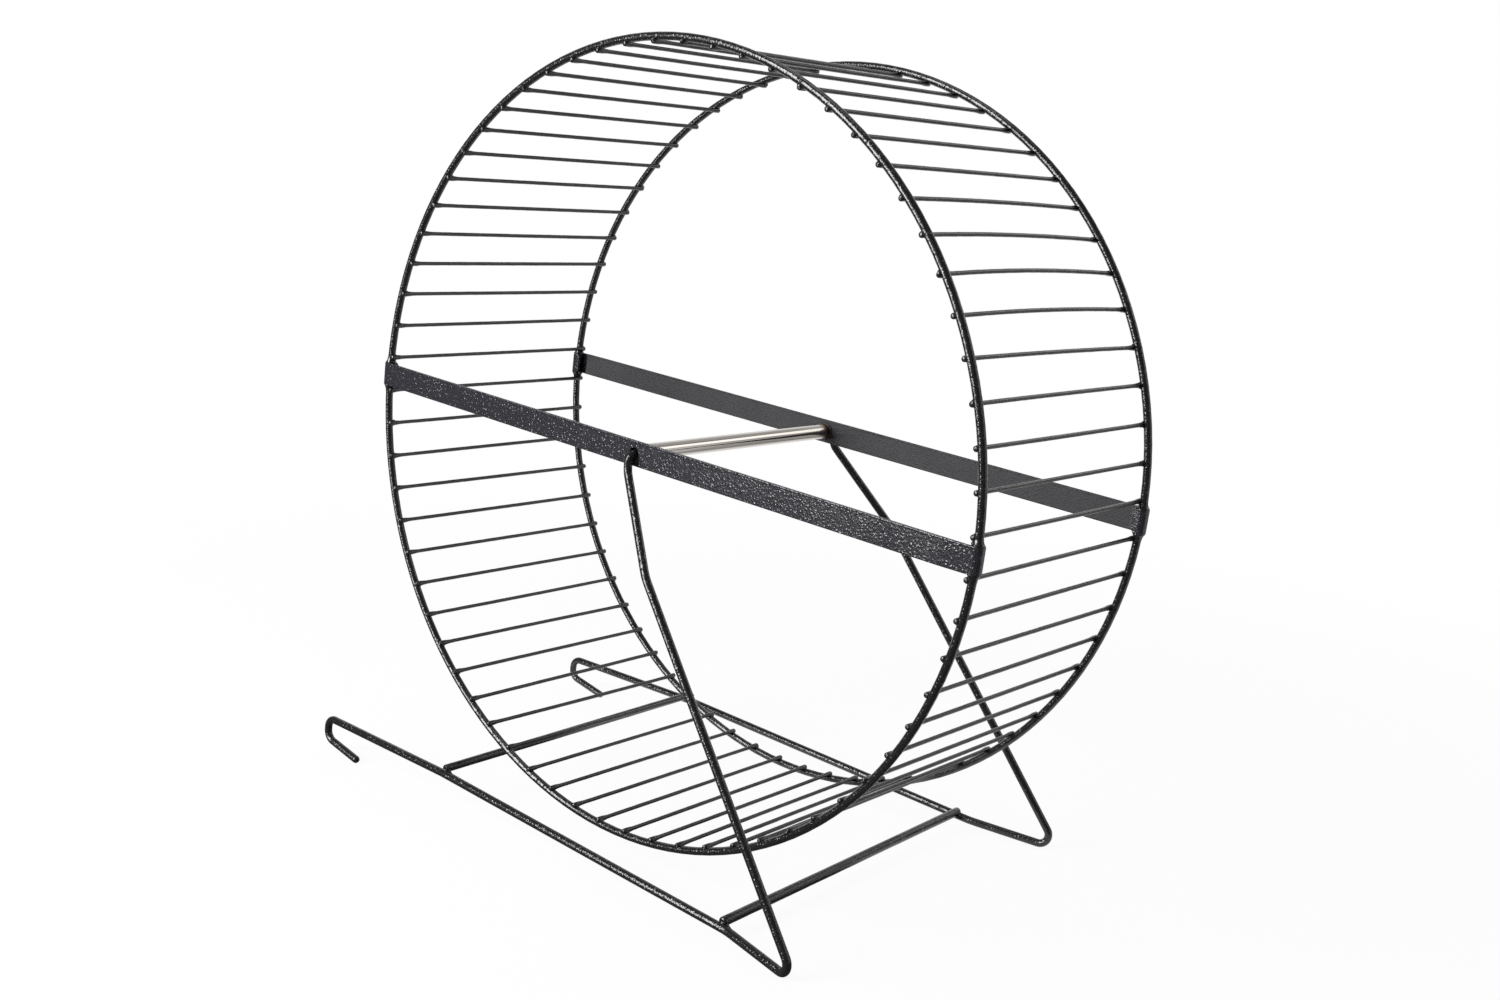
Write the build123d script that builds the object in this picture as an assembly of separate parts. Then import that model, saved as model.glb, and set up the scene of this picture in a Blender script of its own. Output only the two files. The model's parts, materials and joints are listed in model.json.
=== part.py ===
from build123d import *
from math import asin, atan2, cos, degrees, hypot, isclose, sin, sqrt
import os

# A wire running wheel for hamsters, on a free-standing wire stand with hooks.
# Millimetres, +Z up, +Y along the axle towards the back of the wheel.
# The origin is on the floor, straight below the middle of the axle.

# Wheel
hoop_diameter = 300.0      # over the outside of a hoop
hoop_wire = 3.0
hoop_spacing = 109.0       # between the middles of the two hoops
rung_wire = 1.4
rung_count = 66
rung_overhang = 0.2        # how far a rung's end stands out past its hoop
rungs_per_node = 2
first_rung_share = 0.5     # of a pitch above the crossbars, which lie midway between rungs
bar_height = 9.5
bar_thickness = 1.5
bar_edge_round = 0.4       # a rolled strap has no sharp edge
fold_thickness = 0.9       # a strap's ends are beaten thin to fold round the wire
fold_taper = 12.0          # and it thins over this length
lip_reach = 2.5            # the folded lip ends this far past the wire's middle
lip_corner = 2.2
tube_diameter = 6.0
weld_gap = 0.05            # left between pieces that a weld joins

# Stand
stand_wire = 3.2
journal_clearance = 0.08   # radial, between the wire's end and the tube's bore
bar_hole_clearance = 0.7   # radial, where the wire passes through the strap
journal_length = 30.0      # from the leg's middle to the wire's end in the tube
journal_chamfer = 0.4
side_play = 2.2            # between a strap and the leg beside it, each side
wheel_slide = 1.4          # the wheel has slid this far along its axle to the front
leg_bend = 3.4             # bend radii are those of the wire's middle line
leg_drop = 6.2             # the leg hangs straight down this far, then slants
leg_slant_bend = 6.0
kink_share = 0.22          # place of the kink on the way down the leg
kink_out = 13.4            # the outward steps are from the top of the leg
kink_bend = 20.0
foot_reach = 123.0         # ahead of the axle
foot_out = 23.5
foot_bend = 4.0
rail_rise = 0.5            # rail's middle line above the wheel's lowest point
rail_bend_lead = 3.5       # the rail's front bend is this far ahead of the front rod
front_rail_out = 15.7
rear_rail_out = 13.6
front_rail_bend = 30.0
rear_rail_bend = 60.0
front_rod_clearance = 16.0 # between a cross rod and the turning wheel
rear_rod_clearance = 11.5
rod_overhang = 0.3         # past the rail's middle line
rod_end_round = 0.6
hook_reach = 1.5           # past the wheel's rim
hook_out = 12.1
hook_drop = 3.7            # the rail falls this far from the rear rod to the hook
hook_gap = 9.2             # between the middle lines of the rail and the hook
hook_bend_share = 0.48     # bend radius over hook_gap, nearly a half circle
hook_length = 20.5
hook_flare = 3.1           # the free end drops away from the rail by this

# Places that follow from those sizes, seen from the middle of the axle
hoop_radius = (hoop_diameter - hoop_wire) / 2
rung_radius = hoop_radius - (hoop_wire + rung_wire) / 2 - weld_gap
rung_pitch = 360 / rung_count
wheel_radius = hoop_diameter / 2
wire_line = hoop_spacing / 2  # of the back hoop, along the axle
strap_inner_face = wire_line + hoop_wire / 2 + weld_gap
strap_outer_face = strap_inner_face + bar_thickness
leg_top_out = strap_outer_face + side_play + stand_wire / 2
rail_drop = wheel_radius - rail_rise
rod_drop = rail_drop - stand_wire - weld_gap


def rod_place(clearance):
    """Distance fore or aft of the axle at which a cross rod clears the wheel."""
    return sqrt((wheel_radius + clearance + stand_wire / 2) ** 2 - rod_drop**2)


front_rod_place = rod_place(front_rod_clearance)
rear_rod_place = -rod_place(rear_rod_clearance)
hook_place = -(wheel_radius + hook_reach)
hook_height = -(rail_drop + hook_drop)
tip = (hook_place + hook_length, hook_height - hook_gap - hook_flare)

# The stand rests on the two foot bends and the two hook tips, so the floor is
# the common tangent below the foot bend's circle and the round tip of the hook.
leg_slope = atan2(rail_drop - leg_drop, foot_reach)
foot_inset = foot_bend / sin(leg_slope / 2)
foot_centre = (
    foot_reach - foot_inset * cos(leg_slope / 2),
    foot_inset * sin(leg_slope / 2) - rail_drop,
)
run = foot_centre[0] - tip[0]
rise = foot_centre[1] - tip[1]
floor_slope = atan2(rise, run) - asin(foot_bend / hypot(run, rise))
axle_height = stand_wire / 2 + tip[0] * sin(floor_slope) - tip[1] * cos(floor_slope)
stance = Pos(0, 0, axle_height) * Rot(0, degrees(floor_slope), 0)


def rod_along_axle(diameter, length):
    return Rot(90, 0, 0) * Cylinder(diameter / 2, length)


def bent_wire(points, radii, diameter):
    """A round wire along straight runs joined by tangent bends."""
    path = FilletPolyline(*points, radius=radii)
    section = Plane(origin=path @ 0, z_dir=path % 0) * Circle(diameter / 2)
    return sweep(section, path=path)


def hoop(side):
    ring = Rot(90, 0, 0) * Torus(hoop_radius, hoop_wire / 2)
    return Pos(0, side * wire_line, 0) * ring


def half_turn(end, radius):
    """Half a circle round a hoop's wire, in the plan of a strap."""
    centre = Vector(end * hoop_radius, wire_line)
    return ThreePointArc(centre + (0, radius), centre + (end * radius, 0), centre - (0, radius))


def folded_end(end):
    """Plan of one end of a strap: thinned, bent round the wire, and back as a lip."""
    inside = strap_inner_face - wire_line
    outside = inside + fold_thickness
    middle = end * hoop_radius
    lip = end * (hoop_radius - lip_reach)
    return [
        Line((end * (hoop_radius - fold_taper), strap_outer_face), (middle, wire_line + outside)),
        half_turn(end, outside),
        Line((middle, wire_line - outside), (lip, wire_line - outside)),
        Line((lip, wire_line - outside), (lip, wire_line - inside)),
        Line((lip, wire_line - inside), (middle, wire_line - inside)),
        half_turn(end, inside),
    ]


def crossbar(side):
    """A flat strap across a hoop's outer face, its ends folded round the wire."""
    flat = hoop_radius - fold_taper
    faces = [
        Line((-flat, strap_outer_face), (flat, strap_outer_face)),
        Line((-hoop_radius, strap_inner_face), (hoop_radius, strap_inner_face)),
    ]
    plan = make_face(faces + folded_end(-1) + folded_end(1))
    strap = extrude(plan, bar_height / 2, both=True)
    strap = round_rim(fillet(strap.edges().filter_by(Axis.Y), lip_corner))
    strap -= rod_along_axle(stand_wire + 2 * bar_hole_clearance, hoop_spacing * 2)
    return strap if side > 0 else Rot(0, 0, 180) * strap


def round_rim(strap):
    """Rounds the rims of the strap's edges and lips, but not the seams across it."""
    across = [e for e in strap.edges() if isclose(e.length, fold_thickness)]
    seams = [e for e in strap.edges().filter_by(Axis.Z) if isclose(e.length, bar_height)]
    rim = [e for e in strap.edges() if e not in across + seams]
    return fillet(rim, bar_edge_round)


def axle_tube():
    length = 2 * (strap_inner_face - weld_gap)
    bore = rod_along_axle(stand_wire + 2 * journal_clearance, length)
    return rod_along_axle(tube_diameter, length) - bore


def rung(number):
    """One rung, counted upwards from the front end of the crossbars."""
    length = hoop_spacing + hoop_wire + 2 * rung_overhang
    turn = Rot(0, -(number - 1 + first_rung_share) * rung_pitch, 0)
    return turn * Pos(rung_radius, 0, 0) * rod_along_axle(rung_wire, length)


def stand_side(side):
    """Journal, leg, foot, rail and hook, bent from one wire."""
    top = side * leg_top_out
    route = [
        (0, top - side * journal_length, 0),
        (0, top, 0),
        (0, top, -leg_drop),
        (
            kink_share * foot_reach,
            top + side * kink_out,
            -leg_drop - kink_share * (rail_drop - leg_drop),
        ),
        (foot_reach, top + side * foot_out, -rail_drop),
        (
            front_rod_place + rail_bend_lead,
            top + side * front_rail_out,
            -rail_drop,
        ),
        (rear_rod_place, top + side * rear_rail_out, -rail_drop),
        (hook_place, top + side * hook_out, hook_height),
        (hook_place, top + side * hook_out, hook_height - hook_gap),
        (tip[0], top + side * hook_out, tip[1]),
    ]
    hook_bend = hook_bend_share * hook_gap
    radii = [
        leg_bend,
        leg_slant_bend,
        kink_bend,
        foot_bend,
        front_rail_bend,
        rear_rail_bend,
        hook_bend,
        hook_bend,
    ]
    wire = bent_wire(route, radii, stand_wire)
    journal_end = wire.faces().sort_by_distance(route[0])[0]
    wire = chamfer(journal_end.edges(), journal_chamfer)
    return wire + Pos(*route[-1]) * Sphere(stand_wire / 2)


def cross_rod(place, rail_out):
    length = 2 * (leg_top_out + rail_out + rod_overhang)
    rod = rod_along_axle(stand_wire, length)
    rod = fillet(rod.edges().filter_by(GeomType.CIRCLE), rod_end_round)
    return Pos(place, 0, -rod_drop) * rod


wheel = {
    "front_hoop": hoop(-1),
    "back_hoop": hoop(1),
    "front_crossbar": crossbar(-1),
    "back_crossbar": crossbar(1),
    "axle_tube": axle_tube(),
}
for first in range(1, rung_count + 1, rungs_per_node):
    numbers = range(first, min(first + rungs_per_node, rung_count + 1))
    name = "rungs_" + "_".join(f"{number:02d}" for number in numbers)
    wheel[name] = Compound([rung(number) for number in numbers])

stand = {
    "front_stand_wire": stand_side(-1),
    "back_stand_wire": stand_side(1),
    "front_cross_rod": cross_rod(front_rod_place, front_rail_out),
    "rear_cross_rod": cross_rod(rear_rod_place, rear_rail_out),
}

os.makedirs("parts", exist_ok=True)
for name, shape in wheel.items():
    export_step(stance * Pos(0, -wheel_slide, 0) * shape, f"parts/{name}.step")
for name, shape in stand.items():
    export_step(stance * shape, f"parts/{name}.step")

print(f"axle {axle_height:.3f} mm above the floor")
print(f"rails slope {degrees(floor_slope):.3f} degrees down to the feet")
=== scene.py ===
# A wire running wheel for hamsters on its stand, in hammered charcoal paint.
# Metres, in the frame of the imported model: +Z up, +Y along the axle to the back.
import json
import random
from math import atan2, cos, exp, pi, radians, sin, tau
import bmesh
import bpy
from mathutils import Matrix, Vector, noise


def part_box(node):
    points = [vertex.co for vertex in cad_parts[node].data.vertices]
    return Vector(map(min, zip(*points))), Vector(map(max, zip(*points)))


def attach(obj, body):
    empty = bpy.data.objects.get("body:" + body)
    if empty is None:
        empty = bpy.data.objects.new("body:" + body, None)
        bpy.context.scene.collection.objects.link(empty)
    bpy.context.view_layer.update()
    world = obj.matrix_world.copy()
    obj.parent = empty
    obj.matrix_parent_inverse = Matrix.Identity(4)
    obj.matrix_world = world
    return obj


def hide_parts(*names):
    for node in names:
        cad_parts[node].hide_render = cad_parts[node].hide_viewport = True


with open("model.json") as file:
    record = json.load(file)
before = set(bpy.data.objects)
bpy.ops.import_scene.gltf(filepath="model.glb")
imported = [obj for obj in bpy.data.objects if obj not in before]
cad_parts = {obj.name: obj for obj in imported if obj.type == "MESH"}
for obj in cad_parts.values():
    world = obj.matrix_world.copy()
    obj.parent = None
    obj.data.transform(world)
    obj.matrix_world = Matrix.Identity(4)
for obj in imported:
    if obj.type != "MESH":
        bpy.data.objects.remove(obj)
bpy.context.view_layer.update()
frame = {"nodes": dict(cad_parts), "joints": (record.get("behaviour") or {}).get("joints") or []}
dice = random.Random(11)
tiny = 1e-6
print("frame loaded:", len(frame["nodes"]), "nodes")


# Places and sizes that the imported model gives

def middle(node):
    low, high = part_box(node)
    return (low + high) / 2


axle = Vector(frame["joints"][0]["pos_m"])
hoopLow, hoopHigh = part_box("front_hoop")
hoopWire = hoopHigh.y - hoopLow.y
hoopRadius = (hoopHigh.x - hoopLow.x - hoopWire) / 2
hoopPlaces = [middle("front_hoop").y, middle("back_hoop").y]
wheelMiddle = sum(hoopPlaces) / 2
railRun = middle("front_cross_rod") - middle("rear_cross_rod")
slope = atan2(-railRun.z, railRun.x)  # the rails fall this much towards the feet


def onWheel(angle):
    # x outwards from the axle at this angle, y along the axle, z round the wheel
    return Matrix.Translation(axle) @ Matrix.Rotation(slope - angle, 4, "Y")


# Materials

class Level:
    # one number of a material: a sum on it adds a Math node
    def __init__(self, recipe, socket):
        self.recipe = recipe
        self.socket = socket

    def maths(self, operation, *values):
        inputs = dict(enumerate(values))
        return Level(self.recipe, self.recipe.node("Math", {"operation": operation}, inputs).outputs[0])

    def __add__(self, other):
        return self.maths("ADD", self, other)

    def __radd__(self, other):
        return self.maths("ADD", other, self)

    def __sub__(self, other):
        return self.maths("SUBTRACT", self, other)

    def __rsub__(self, other):
        return self.maths("SUBTRACT", other, self)

    def __mul__(self, other):
        return self.maths("MULTIPLY", self, other)

    def __rmul__(self, other):
        return self.maths("MULTIPLY", other, self)


class Recipe:
    # the nodes of one material, or of the world
    def __init__(self, owner):
        owner.use_nodes = True
        self.owner = owner
        self.tree = owner.node_tree
        self.tree.nodes.clear()

    def node(self, kind, settings=None, inputs=None):
        made = self.tree.nodes.new("ShaderNode" + kind)
        for key, value in (settings or {}).items():
            setattr(made, key, value)
        for key, value in (inputs or {}).items():
            if isinstance(value, Level):
                value = value.socket
            if isinstance(value, bpy.types.NodeSocket):
                self.tree.links.new(value, made.inputs[key])
            else:
                made.inputs[key].default_value = value
        return made

    def level(self, kind, output, settings=None, inputs=None):
        return Level(self, self.node(kind, settings, inputs).outputs[output])

    def mixed(self, share, first, second):
        settings = {"data_type": "RGBA", "clamp_factor": True}
        inputs = {"Factor": share, 6: rgba(first), 7: rgba(second)}
        return self.node("Mix", settings, inputs).outputs[2]

    def step(self, value, low, high):
        settings = {"interpolation_type": "SMOOTHSTEP", "clamp": True}
        return self.level("MapRange", 0, settings, {"Value": value, "From Min": low, "From Max": high})

    def noise(self, where, scale, detail=2.0, roughness=0.5):
        inputs = {"Vector": where, "Scale": scale, "Detail": detail, "Roughness": roughness}
        return self.level("TexNoise", "Fac", None, inputs)


def rgba(value):
    return (*value, 1.0) if isinstance(value, tuple) and len(value) == 3 else value


def paintRecipe(name):
    return Recipe(bpy.data.materials.new(name))


def shaded(recipe, inputs, height, relief):
    # one principled shader with a bump of that height field
    bump = recipe.node("Bump", None, {"Height": height, "Distance": relief, "Strength": 1.0})
    shader = recipe.node("BsdfPrincipled", None, {**inputs, "Normal": bump.outputs[0]})
    recipe.node("OutputMaterial", None, {"Surface": shader.outputs[0]})
    return recipe.owner


# each paint's groove colour is darker than its top colour, as painted shade between the pebbles
hammered = {
    "strap": {
        "cell": 0.00125,  # from one pebble of the hammered coat to the next
        "pebble": 0.42,  # reach of one pebble, over the cell
        "relief": 0.00013,
        "top": (0.022, 0.022, 0.028),
        "grooveShade": (0.014, 0.014, 0.018),
        "innerShade": (0.009, 0.009, 0.011),  # painted shade: a darker colour on a strap's inner face, where the coat is also dull
        "gloss": 0.13,
    },
    "hoop": {
        "cell": 0.00105,
        "pebble": 0.55,
        "relief": 0.00011,
        "top": (0.014, 0.0135, 0.0145),
        "grooveShade": (0.009, 0.0085, 0.009),
        "gloss": 0.11,
    },
    "stand": {
        "cell": 0.00110,
        "pebble": 0.55,
        "relief": 0.00012,
        "top": (0.014, 0.0135, 0.014),
        "grooveShade": (0.009, 0.0085, 0.0085),
        "gloss": 0.11,
    },
    "rung": {
        "cell": 0.00090,
        "pebble": 0.55,
        "relief": 0.00008,
        "top": (0.016, 0.0145, 0.013),
        "grooveShade": (0.010, 0.009, 0.008),
        "gloss": 0.18,
    },
}
enamel = {
    "ior": 1.52,
    "warp": 0.6,  # scale of the warp that makes the cells uneven, over one cell
    "lowPebble": 0.35,  # the lowest pebbles, over the highest
    "fineScale": 1.6,  # of the ripple between pebbles, over one cell
    "fineHeight": 0.5,
    "cloudScale": 90.0,
    "patchScale": 16.0,
    "pebbleShade": 0.8,
    "patchTone": 0.4,
    "cloudGloss": 0.08,
    "grooveGloss": 0.05,
}
strapFace = {
    "depth": 0.0010,  # the outer face's coat reaches round the edge this far
    "blend": 0.0004,
    "rimInset": 0.0002,
    "rimBlend": 0.0006,
    "rimRelief": 1.6,  # the coat is rougher by this along a strap's top edge
    "foldReach": (0.1530, 0.1555),  # the dull inner face ends here, from the wheel's middle
    "dulling": 0.42,
    "smoothing": 0.3,
}


def hammeredPaint(name, look, innerFace=None, shadowAndScorch=None):
    # hammered enamel: sparse round pebbles of uneven height on a faintly rippled coat
    recipe = paintRecipe(name)
    where = recipe.node("TexCoord").outputs["Object"]
    cell = look["cell"]
    warp = recipe.node("TexNoise", None, {"Vector": where, "Scale": enamel["warp"] / cell, "Detail": 1.0})
    push = recipe.node("VectorMath", {"operation": "SCALE"}, {0: warp.outputs["Color"], "Scale": cell})
    bent = recipe.node("VectorMath", {"operation": "ADD"}, {0: where, 1: push.outputs[0]}).outputs[0]
    spots = recipe.node("TexVoronoi", None, {"Vector": bent, "Scale": 1 / cell}).outputs
    size = recipe.level("SeparateColor", 0, None, {0: spots["Color"]})
    size = enamel["lowPebble"] + (1 - enamel["lowPebble"]) * size
    pebble = (1 - recipe.step(Level(recipe, spots["Distance"]), 0.0, look["pebble"])) * size
    fine = recipe.noise(where, enamel["fineScale"] / cell, detail=1.0)
    cloud = recipe.noise(where, enamel["cloudScale"], detail=3.0)
    patch = recipe.noise(where, enamel["patchScale"])
    # painted shade: the grooves between pebbles are darker and the pebbles' tops lighter; the patches add
    # a random tone of the coat
    tone = pebble * enamel["pebbleShade"] + patch * enamel["patchTone"]
    colour = recipe.mixed(tone, look["grooveShade"], look["top"])
    gloss = look["gloss"] + (cloud - 0.5) * enamel["cloudGloss"] + (1 - pebble) * enamel["grooveGloss"]
    height = pebble + fine * enamel["fineHeight"]
    if innerFace:
        up = {0: where, 1: (sin(slope), 0.0, cos(slope))}
        tall = recipe.level("VectorMath", "Value", {"operation": "DOT_PRODUCT"}, up) - axle.z * cos(slope)
        rim = recipe.step(tall, innerFace["rim"] - strapFace["rimBlend"], innerFace["rim"])
        height = height * (1 + rim * strapFace["rimRelief"])
        along = recipe.level("SeparateXYZ", 1, None, {0: where})
        outwards = (along - innerFace["edge"]) * innerFace["outward"]
        inner = 1 - recipe.step(outwards, 0.0, strapFace["blend"])
        reach = recipe.level("VectorMath", "Value", {"operation": "DISTANCE"}, {0: where, 1: tuple(axle)})
        inner = inner * (1 - recipe.step(reach, *strapFace["foldReach"]))
        # painted shade: the inner face takes a darker colour
        colour = recipe.mixed(inner, colour, recipe.mixed(cloud, look["grooveShade"], look["innerShade"]))
        gloss = gloss + inner * strapFace["dulling"]
        height = height * (1 - inner * strapFace["smoothing"])
    if shadowAndScorch:
        # painted shadow of the tube, partly burnt coat, darkens the strap round the tube's back end
        ends = {0: where, 1: shadowAndScorch["centre"]}
        reach = recipe.level("VectorMath", "Value", {"operation": "DISTANCE"}, ends)
        ragged = reach + (cloud - 0.5) * shadowAndScorch["ragged"]
        tint = 1 - recipe.step(ragged, shadowAndScorch["core"], shadowAndScorch["reach"])
        colour = recipe.mixed(tint * shadowAndScorch["depth"], colour, shadowAndScorch["colour"])
    inputs = {"Base Color": colour, "Roughness": gloss, "IOR": enamel["ior"]}
    return shaded(recipe, inputs, height, look["relief"])


plated = {
    "colour": (0.60, 0.56, 0.52),
    "shadow": (0.49, 0.455, 0.42),
    "tint": (0.17, 0.085, 0.038),
    "burnt": (0.018, 0.012, 0.010),
    "streakScale": (900.0, 14.0, 900.0),
    "streakTone": (0.35, 0.75),
    "cloudScale": 160.0,
    "tintReach": (0.0015, 0.0055),  # the weld's heat has browned the tube this far from its ends
    "tintRagged": 0.004,
    "tintDepth": 0.9,
    "burntReach": (0.0001, 0.0006),
    "dullReach": (0.002, 0.026),  # and dulled it this far
    "gloss": 0.045,
    "streakGloss": 0.05,
    "tintGloss": 0.2,
    "dullGloss": 0.16,
    "relief": 0.00001,
}


def platedSteel(name):
    # bright plated tube with fine marks drawn lengthwise
    recipe = paintRecipe(name)
    where = recipe.node("TexCoord").outputs["Object"]
    drawn = recipe.node("Mapping", None, {"Vector": where, "Scale": plated["streakScale"]}).outputs[0]
    streak = recipe.noise(drawn, 1.0, detail=3.0, roughness=0.6)
    cloud = recipe.noise(where, plated["cloudScale"], detail=3.0)
    low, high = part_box("axle_tube")
    along = recipe.level("SeparateXYZ", 1, None, {0: where})
    fromEnd = recipe.level("Math", 0, {"operation": "MINIMUM"}, {0: along - low.y, 1: high.y - along})
    tint = 1 - recipe.step(fromEnd + (cloud - 0.5) * plated["tintRagged"], *plated["tintReach"])
    burnt = 1 - recipe.step(fromEnd, *plated["burntReach"])
    dulled = 1 - recipe.step(fromEnd, *plated["dullReach"])
    colour = recipe.mixed(recipe.step(streak, *plated["streakTone"]), plated["colour"], plated["shadow"])
    colour = recipe.mixed(tint * plated["tintDepth"], colour, plated["tint"])
    colour = recipe.mixed(burnt, colour, plated["burnt"])
    gloss = plated["gloss"] + streak * plated["streakGloss"] + tint * plated["tintGloss"]
    gloss = gloss + dulled * plated["dullGloss"]
    inputs = {"Base Color": colour, "Roughness": gloss, "Metallic": 1.0}
    return shaded(recipe, inputs, streak, plated["relief"])


def strapHalfHeight(node):
    low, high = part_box(node)
    return (high.z - low.z) / 2 - (high.x - low.x) / 2 * abs(slope)


def innerSide(node, outward):
    # on the face that looks into the wheel, a strap's coat is duller and smoother, and darker as painted
    # shade
    low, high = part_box(node)
    outerFace = high.y if outward > 0 else low.y
    rim = strapHalfHeight(node) - strapFace["rimInset"]
    return {"edge": outerFace - outward * strapFace["depth"], "outward": outward, "rim": rim}


shadowAndScorch = {  # a dark patch on the back strap round the tube's weld, off to its right: painted shadow of the tube, partly coat burnt by the weld
    "centre": (axle.x + 0.0012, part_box("axle_tube")[1].y, axle.z - 0.0002),
    "core": 0.0038,
    "reach": 0.0066,
    "ragged": 0.0030,
    "depth": 0.95,
    "colour": (0.010, 0.007, 0.011),
}
paints = {
    "frontStrap": hammeredPaint("frontStrapPaint", hammered["strap"], innerSide("front_crossbar", -1)),
    "backStrap": hammeredPaint("backStrapPaint", hammered["strap"], innerSide("back_crossbar", 1), shadowAndScorch),
    "hoop": hammeredPaint("hoopPaint", hammered["hoop"]),
    "stand": hammeredPaint("standPaint", hammered["stand"]),
    "rung": hammeredPaint("rungPaint", hammered["rung"]),
    "tube": platedSteel("tubePlate"),
}
print("materials made:", len(paints))


# Finishes of the pieces that stay as they were packed

kept = {
    "front_hoop": "hoop",
    "back_hoop": "hoop",
    "front_crossbar": "frontStrap",
    "back_crossbar": "backStrap",
    "axle_tube": "tube",
    "front_stand_wire": "stand",
    "back_stand_wire": "stand",
}
for node, paint in kept.items():
    slots = frame["nodes"][node].data.materials
    slots.clear()
    slots.append(paints[paint])
print("packed pieces painted:", len(kept))


# Shapes that the new pieces share

def finished(bm, name, body, paint, replaced=()):
    bmesh.ops.recalc_face_normals(bm, faces=bm.faces)
    mesh = bpy.data.meshes.new(name)
    bm.to_mesh(mesh)
    bm.free()
    mesh.shade_smooth()
    mesh.materials.append(paints[paint])
    piece = bpy.data.objects.new(name, mesh)
    bpy.context.scene.collection.objects.link(piece)
    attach(piece, body)
    if replaced:
        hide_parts(*replaced)
    return piece


def wireAlongAxle(look, length):
    # a straight wire along Y with rounded ends, cut into short lengths to be bent
    bm = bmesh.new()
    upright = Matrix.Rotation(pi / 2, 4, "X")
    radius = look["wire"] / 2
    bmesh.ops.create_cone(bm, cap_ends=True, segments=look["sides"], radius1=radius,
                          radius2=radius, depth=length, matrix=upright)
    rims = [edge for edge in bm.edges if abs(edge.verts[0].co.y - edge.verts[1].co.y) < tiny]
    bmesh.ops.bevel(bm, geom=rims, offset=look["endRound"], segments=3, profile=0.5,
                    affect="EDGES", material=-1)
    runs = [edge for edge in bm.edges if abs(edge.verts[0].co.y - edge.verts[1].co.y) > length / 2]
    bmesh.ops.subdivide_edges(bm, edges=runs, cuts=look["cuts"], use_grid_fill=True)
    return bm


def poured(target, part):
    # moves one shape into the mesh of a piece
    mesh = bpy.data.meshes.new("poured")
    part.to_mesh(mesh)
    part.free()
    target.from_mesh(mesh)
    bpy.data.meshes.remove(mesh)


lumpLook = {"sides": 8, "rings": 5, "uneven": 0.25, "grain": 1.6}
noiseSpan = 50  # noise is read at a random place within this span


def randomPlace():
    return Vector([dice.uniform(0, noiseSpan) for axis in range(3)])


def addLump(bm, place, size):
    # a small uneven blob of weld metal under paint
    made = bmesh.ops.create_uvsphere(bm, u_segments=lumpLook["sides"],
                                     v_segments=lumpLook["rings"], radius=1)
    offset = randomPlace()
    for vert in made["verts"]:
        vert.co *= 1 + lumpLook["uneven"] * noise.noise(vert.co * lumpLook["grain"] + offset)
    bmesh.ops.transform(bm, matrix=place @ Matrix.Diagonal((*size, 1)), verts=made["verts"])


# Rungs: two to a piece, as they are packed

rungLook = {
    "wire": 0.0014,
    "coat": 0.00007,
    "sunk": 0.00050,  # each rung is pressed this far into its hoops where it is welded
    "sides": 12,
    "cuts": 45,
    "endRound": 0.00050,
    "shorter": 0.0002,
    "flare": 0.42,  # the weld and the paint thicken a rung where it meets a hoop
    "flareReach": 0.0013,
    "uneven": 0.07,  # how lumpy the thick coat is, over the wire's radius
    "grain": (900, 700),  # of the lumps, across and further along
    "bow": 0.0010,  # a few rungs at the front are bowed upwards
    "bowOutwards": 0.5,
    "bowRung": 7,
    "bowSpread": 2.0,
    "skew": 0.00025,
    "strays": (0.25, 0.5),  # of the bow and of the skew, over the skew
}
rungNodes = sorted(node for node in frame["nodes"] if node.startswith("rungs_"))
rungCount = int(rungNodes[-1].split("_")[-1])
rungPitch = tau / rungCount
rungRadius = hoopRadius - (hoopWire + rungLook["wire"]) / 2 + rungLook["sunk"]


def rungAngle(number):
    return (number - 0.5) * rungPitch


def rungShape(number, length):
    bm = wireAlongAxle(rungLook, length - 2 * rungLook["shorter"])
    half = length / 2 - rungLook["shorter"]
    bow = rungLook["bow"] * exp(-((number - rungLook["bowRung"]) / rungLook["bowSpread"]) ** 2)
    bowStray, skewStray = rungLook["strays"]
    bow += dice.gauss(0, bowStray) * rungLook["skew"]
    skew = dice.gauss(0, skewStray) * rungLook["skew"]
    grain, grainAlong = rungLook["grain"]
    for vert in bm.verts:
        share = vert.co.y / half
        fromEnd = half - abs(vert.co.y)
        fromHoop = max(0, fromEnd - hoopWire)
        swell = rungLook["flare"] * exp(-fromHoop / rungLook["flareReach"])
        lumpPlace = Vector((number, vert.co.y * grainAlong, 0)) + vert.co * grain
        lumps = rungLook["uneven"] * noise.noise(lumpPlace)
        thick = 1 + rungLook["coat"] * 2 / rungLook["wire"] + swell + lumps
        vert.co.x *= thick
        vert.co.z *= thick
        vert.co.z += bow * (1 - share * share) + skew * share
        vert.co.x += bow * rungLook["bowOutwards"] * (1 - share * share)
    place = onWheel(rungAngle(number)) @ Matrix.Translation((rungRadius, wheelMiddle, 0))
    bmesh.ops.transform(bm, matrix=place, verts=bm.verts)
    return bm


for node in rungNodes:
    low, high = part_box(node)
    numbers = [int(word) for word in node.split("_")[1:]]
    piece = bmesh.new()
    for number in numbers:
        poured(piece, rungShape(number, high.y - low.y))
    finished(piece, "dressed_" + node, "wheel", "rung", [node])
print("rungs made:", rungCount)


# Spot welds where the rungs lie in the hoops

weldLook = {
    "along": 0.0018,
    "around": 0.0013,
    "outward": 0.0010,
    "centre": 0.00040,  # from the rung's middle line towards the hoop
    "stray": 0.2,  # along the rung, over the weld's length
    "sizes": (0.85, 1.15),
}


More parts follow.
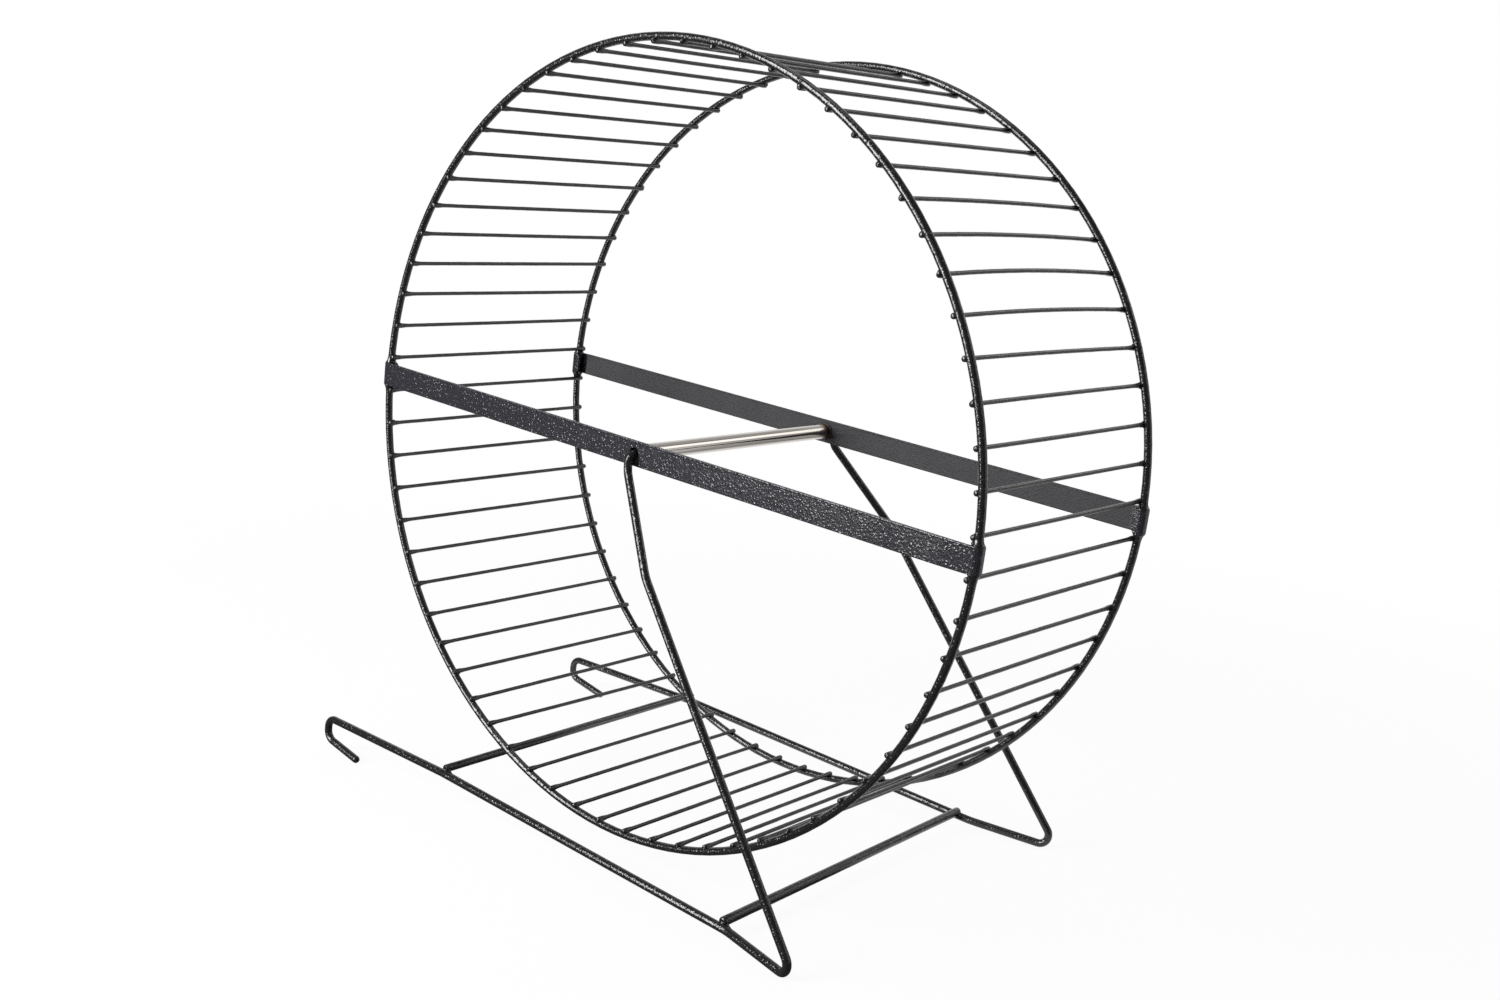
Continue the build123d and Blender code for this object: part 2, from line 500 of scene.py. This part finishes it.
def rungWelds(name, hoopPlace):
    bm = bmesh.new()
    for number in range(1, rungCount + 1):
        place = onWheel(rungAngle(number))
        stray = dice.uniform(-1, 1) * weldLook["stray"] * weldLook["along"]
        place = place @ Matrix.Translation((rungRadius + weldLook["centre"], hoopPlace + stray, 0))
        grow = dice.uniform(*weldLook["sizes"])
        size = [weldLook[key] * grow for key in ("outward", "along", "around")]
        addLump(bm, place, size)
    return finished(bm, name, "wheel", "rung")


rungWelds("front_rung_welds", hoopPlaces[0])
rungWelds("back_rung_welds", hoopPlaces[1])
print("spot welds made:", 2 * rungCount)


# Beads of weld at the straps' ends and round the hub

beadLook = {
    "collarLength": 0.0026,  # paint and weld run out from a strap's fold along the wire
    "collarSides": 24,
    "collarCuts": 7,
    "foldCover": 0.00088,  # how far a fold stands out from the wire
    "overWire": 0.00004,
    "uneven": 0.05,
    "collarGrain": 2,
    "collarCovers": (0.85, 1.1),
    "collarLengths": (0.8, 1.15),
    "cornerBead": (0.0011, 0.0013, 0.0015),
    "cornerSizes": (0.7, 1.0),
    "cornerInwards": 0.55,  # of the hoop's wire
    "hubBead": 0.0005,
    "hubOutwards": 0.25,
    "hubUneven": 0.12,
    "hubGrain": 700,
    "hubSteps": 40,
    "hubSides": 8,
}


def addCollar(bm, place):
    # a flared collar round the hoop's wire, wide at the fold and thin at its far end
    part = bmesh.new()
    thin = hoopWire / 2 + beadLook["overWire"]
    grow = dice.uniform(*beadLook["collarCovers"]) * beadLook["foldCover"]
    length = beadLook["collarLength"] * dice.uniform(*beadLook["collarLengths"])
    bmesh.ops.create_cone(part, cap_ends=True, segments=beadLook["collarSides"], radius1=1,
                          radius2=1, depth=length, matrix=Matrix.Translation((0, 0, length / 2)))
    runs = [edge for edge in part.edges if abs(edge.verts[0].co.z - edge.verts[1].co.z) > length / 2]
    bmesh.ops.subdivide_edges(part, edges=runs, cuts=beadLook["collarCuts"], use_grid_fill=True)
    offset = randomPlace()
    for vert in part.verts:
        share = vert.co.z / length
        radius = thin + grow * (1 - share) ** 2
        lumps = noise.noise(vert.co * beadLook["collarGrain"] + offset)
        radius *= 1 + beadLook["uneven"] * (1 - share) * lumps
        vert.co.x *= radius
        vert.co.y *= radius
    bmesh.ops.transform(part, matrix=place, verts=part.verts)
    poured(bm, part)


def strapWelds(name, strapNode, hoopPlace):
    bm = bmesh.new()
    edge = strapHalfHeight(strapNode)
    for end in (0, pi):
        for side in (-1, 1):
            place = onWheel(end + side * edge / hoopRadius)
            place = place @ Matrix.Translation((hoopRadius, hoopPlace, 0))
            addCollar(bm, place if side > 0 else place @ Matrix.Rotation(pi, 4, "X"))
            inwards = Matrix.Translation((-hoopWire * beadLook["cornerInwards"], 0, 0))
            sizes = [size * dice.uniform(*beadLook["cornerSizes"]) for size in beadLook["cornerBead"]]
            addLump(bm, place @ inwards, sizes)
    return finished(bm, name, "wheel", "hoop")


def hubWeld(name, place, radius, paint):
    bm = bmesh.new()
    bead = beadLook["hubBead"]
    upright = Matrix.Translation((radius + bead * beadLook["hubOutwards"], 0, 0))
    upright = upright @ Matrix.Rotation(pi / 2, 4, "X")
    ring = bmesh.ops.create_circle(bm, segments=beadLook["hubSides"], radius=bead, matrix=upright)
    bmesh.ops.spin(bm, geom=ring["verts"] + bm.edges[:], cent=(0, 0, 0), axis=(0, 0, 1),
                   angle=tau, steps=beadLook["hubSteps"], use_merge=True)
    for vert in bm.verts:
        grow = 1 + beadLook["hubUneven"] * noise.noise(vert.co * beadLook["hubGrain"])
        vert.co.x *= grow
        vert.co.y *= grow
    flat = Matrix.Translation((axle.x, place, axle.z)) @ Matrix.Rotation(pi / 2, 4, "X")
    bmesh.ops.transform(bm, matrix=flat, verts=bm.verts)
    return finished(bm, name, "wheel", paint)


strapWelds("front_strap_welds", "front_crossbar", hoopPlaces[0])
strapWelds("back_strap_welds", "back_crossbar", hoopPlaces[1])
tubeLow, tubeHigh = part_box("axle_tube")
tubeRadius = (tubeHigh.z - tubeLow.z) / 2
hubWeld("front_hub_weld", tubeLow.y, tubeRadius, "frontStrap")
hubWeld("back_hub_weld", tubeHigh.y, tubeRadius, "backStrap")
print("strap and hub welds made")


# Cross rods of the stand, laid a little askew as they were welded

rodLook = {
    "wire": 0.0032,
    "sides": 20,
    "cuts": 40,
    "endRound": 0.0007,
    "uneven": 0.025,
    "grain": 500,
    "coats": {"front_cross_rod": 0.00018, "rear_cross_rod": 0.00005},
    "sunk": 0.0013,  # each rod is pressed this far into the rails
    "shorter": 0.0006,
    "webFlare": 0.0026,  # weld fills the corners between rod and rail this far along the rail
    "webAcross": 0.0014,
    "webSides": 24,
    "webCuts": 8,
    "skews": {"front_cross_rod": (0.0009, -0.0028), "rear_cross_rod": (0.0007, -0.0031)},
}


def addWeb(bm, place, rise):
    # stands on a rail's middle line and narrows upwards to the width of the rod
    part = bmesh.new()
    bmesh.ops.create_cone(part, cap_ends=True, segments=rodLook["webSides"], radius1=1,
                          radius2=1, depth=rise, matrix=Matrix.Translation((0, 0, rise / 2)))
    runs = [edge for edge in part.edges if abs(edge.verts[0].co.z - edge.verts[1].co.z) > rise / 2]
    bmesh.ops.subdivide_edges(part, edges=runs, cuts=rodLook["webCuts"], use_grid_fill=True)
    for vert in part.verts:
        share = vert.co.z / rise
        vert.co.x *= rodLook["wire"] / 2 + rodLook["webFlare"] * (1 - share) ** 2
        vert.co.y *= rodLook["webAcross"]
    bmesh.ops.transform(part, matrix=place, verts=part.verts)
    poured(bm, part)


def crossRod(node):
    low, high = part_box(node)
    length = high.y - low.y
    centre = (low + high) / 2
    frontShift, backShift = rodLook["skews"][node]
    bm = wireAlongAxle(rodLook, length - 2 * rodLook["shorter"])
    for vert in bm.verts:
        share = vert.co.y / length + 0.5
        lumps = 1 + rodLook["coats"][node] * 2 / rodLook["wire"]
        lumps += rodLook["uneven"] * noise.noise(vert.co * rodLook["grain"] + centre)
        vert.co.x *= lumps
        vert.co.z *= lumps
        shift = frontShift + (backShift - frontShift) * share
        vert.co.x += shift
        vert.co.z -= shift * slope + rodLook["sunk"]
    bmesh.ops.transform(bm, matrix=Matrix.Translation(centre), verts=bm.verts)
    finished(bm, "dressed_" + node, "stand", "stand", [node])
    bm = bmesh.new()
    rise = rodLook["wire"] - rodLook["sunk"]
    for side, shift in ((-1, frontShift), (1, backShift)):
        place = centre + Vector((shift, side * (length - rodLook["wire"]) / 2, -rodLook["wire"]))
        addWeb(bm, Matrix.Translation(place) @ Matrix.Rotation(slope, 4, "Y"), rise)
    return finished(bm, node + "_welds", "stand", "stand")


for node in rodLook["skews"]:
    crossRod(node)
print("cross rods made:", len(rodLook["skews"]))


# Studio: pale floor, soft lamps and the camera

studio = {
    "floorHalf": 6.0,
    "floorColour": (0.90, 0.90, 0.90),
    "shadowShare": 0.07,  # how much of the object's shadow the white floor keeps
    "shadowReach": (0.25, 0.80),  # the floor's own grey fades out between these
    "roomLevel": 0.10,
    "backLevel": 1.0,
    "backReach": (-0.10, 0.30),  # the backdrop's light fades in between these, towards +Y
    "dimFrom": (0.10, 0.25),  # and it is dimmer from here
    "dimTo": (0.60, 0.72),  # to here, towards +X
    "dimBy": 0.6,
    "overheadShare": 0.45,  # of the backdrop's level, high above it
    "overheadFrom": (0.46, 0.64),
}
lamps = {
    "keyBox": {"place": (-0.545, -1.11, 0.56), "size": (0.38, 1.24), "power": 25.5},
    "fillBox": {"place": (-0.50, -1.30, 0.48), "size": (1.20, 0.95), "power": 5.0},
    "rearBox": {"place": (0.65, 0.96, 0.75), "size": (0.95, 0.42), "power": 1.7},
    "topBox": {"place": (-0.10, -0.10, 1.50), "size": (0.70, 0.50), "power": 2.0},
}
cameraLook = {
    "place": (0.41799, -0.49144, 0.26366),
    "heading": radians(39.857),
    "downward": radians(11.280),
    "roll": radians(4.182),
    "lens": 39.88,
    "sensor": 36.0,
}


def whiteRays(recipe):
    # what the camera sees, and what a mirror or a pane shows: light on the object is neither
    rays = recipe.node("LightPath").outputs
    seen = Level(recipe, rays["Is Camera Ray"])
    mirrored = Level(recipe, rays["Is Glossy Ray"]) + Level(recipe, rays["Is Transmission Ray"])
    return seen, mirrored


def behindObject(recipe, way):
    # the backdrop is lit behind the object, and the room in front of it stays dim
    along = recipe.level("SeparateXYZ", 1, None, {0: way})
    across = recipe.level("SeparateXYZ", 0, None, {0: way})
    dim = recipe.step(across, *studio["dimFrom"]) * (1 - recipe.step(across, *studio["dimTo"]))
    return recipe.step(along, *studio["backReach"]) * (1 - dim * studio["dimBy"])


def paleFloor():
    bm = bmesh.new()
    bmesh.ops.create_grid(bm, x_segments=8, y_segments=8, size=studio["floorHalf"])
    mesh = bpy.data.meshes.new("floor")
    bm.to_mesh(mesh)
    bm.free()
    recipe = paintRecipe("floorPaint")
    seen, mirrored = whiteRays(recipe)
    where = recipe.node("TexCoord").outputs["Object"]
    far = recipe.level("VectorMath", "Value", {"operation": "LENGTH"}, {0: where})
    far = recipe.step(far, *studio["shadowReach"])
    way = recipe.node("VectorMath", {"operation": "NORMALIZE"}, {0: where}).outputs[0]
    behind = behindObject(recipe, way)
    matt = recipe.node("BsdfDiffuse", None, {"Color": rgba(studio["floorColour"])})
    around = studio["roomLevel"] + behind * (studio["backLevel"] - studio["roomLevel"])
    level = seen + mirrored * around
    white = recipe.node("Emission", None, {"Color": rgba((1.0, 1.0, 1.0)), "Strength": level})
    share = seen * (1 - studio["shadowShare"] * (1 - far)) + mirrored
    both = recipe.node("MixShader", None, {0: share, 1: matt.outputs[0], 2: white.outputs[0]})
    recipe.node("OutputMaterial", None, {"Surface": both.outputs[0]})
    mesh.materials.append(recipe.owner)
    floor = bpy.data.objects.new("floor", mesh)
    bpy.context.scene.collection.objects.link(floor)


def whiteRoom():
    world = bpy.data.worlds.new("studio")
    bpy.context.scene.world = world
    recipe = Recipe(world)
    seen = Level(recipe, recipe.node("LightPath").outputs["Is Camera Ray"])
    where = recipe.node("TexCoord").outputs["Generated"]
    height = recipe.level("SeparateXYZ", 2, None, {0: where})
    dimming = 1 - recipe.step(height, *studio["overheadFrom"]) * (1 - studio["overheadShare"])
    backdrop = behindObject(recipe, where) * dimming
    around = studio["roomLevel"] + backdrop * (studio["backLevel"] - studio["roomLevel"])
    strength = seen + (1 - seen) * around
    shown = recipe.node("Background", None, {"Color": rgba((1.0, 1.0, 1.0)), "Strength": strength})
    recipe.node("OutputWorld", None, {"Surface": shown.outputs[0]})


def softLamp(name, look):
    lamp = bpy.data.lights.new(name, "AREA")
    lamp.shape = "RECTANGLE"
    lamp.size, lamp.size_y = look["size"]
    lamp.energy = look["power"]
    holder = bpy.data.objects.new(name, lamp)
    holder.location = look["place"]
    aim = axle - Vector(look["place"])
    holder.rotation_euler = aim.to_track_quat("-Z", "Y").to_euler()
    bpy.context.scene.collection.objects.link(holder)


def photoCamera():
    data = bpy.data.cameras.new("camera")
    data.lens = cameraLook["lens"]
    data.sensor_width = cameraLook["sensor"]
    camera = bpy.data.objects.new("camera", data)
    turn = Matrix.Rotation(cameraLook["heading"], 4, "Z")
    turn = turn @ Matrix.Rotation(pi / 2 - cameraLook["downward"], 4, "X")
    turn = turn @ Matrix.Rotation(cameraLook["roll"], 4, "Z")
    camera.matrix_world = Matrix.Translation(cameraLook["place"]) @ turn
    bpy.context.scene.collection.objects.link(camera)
    bpy.context.scene.camera = camera


paleFloor()
whiteRoom()
for name, look in lamps.items():
    softLamp(name, look)
photoCamera()
bpy.context.scene.view_settings.view_transform = "Standard"
print("studio ready")
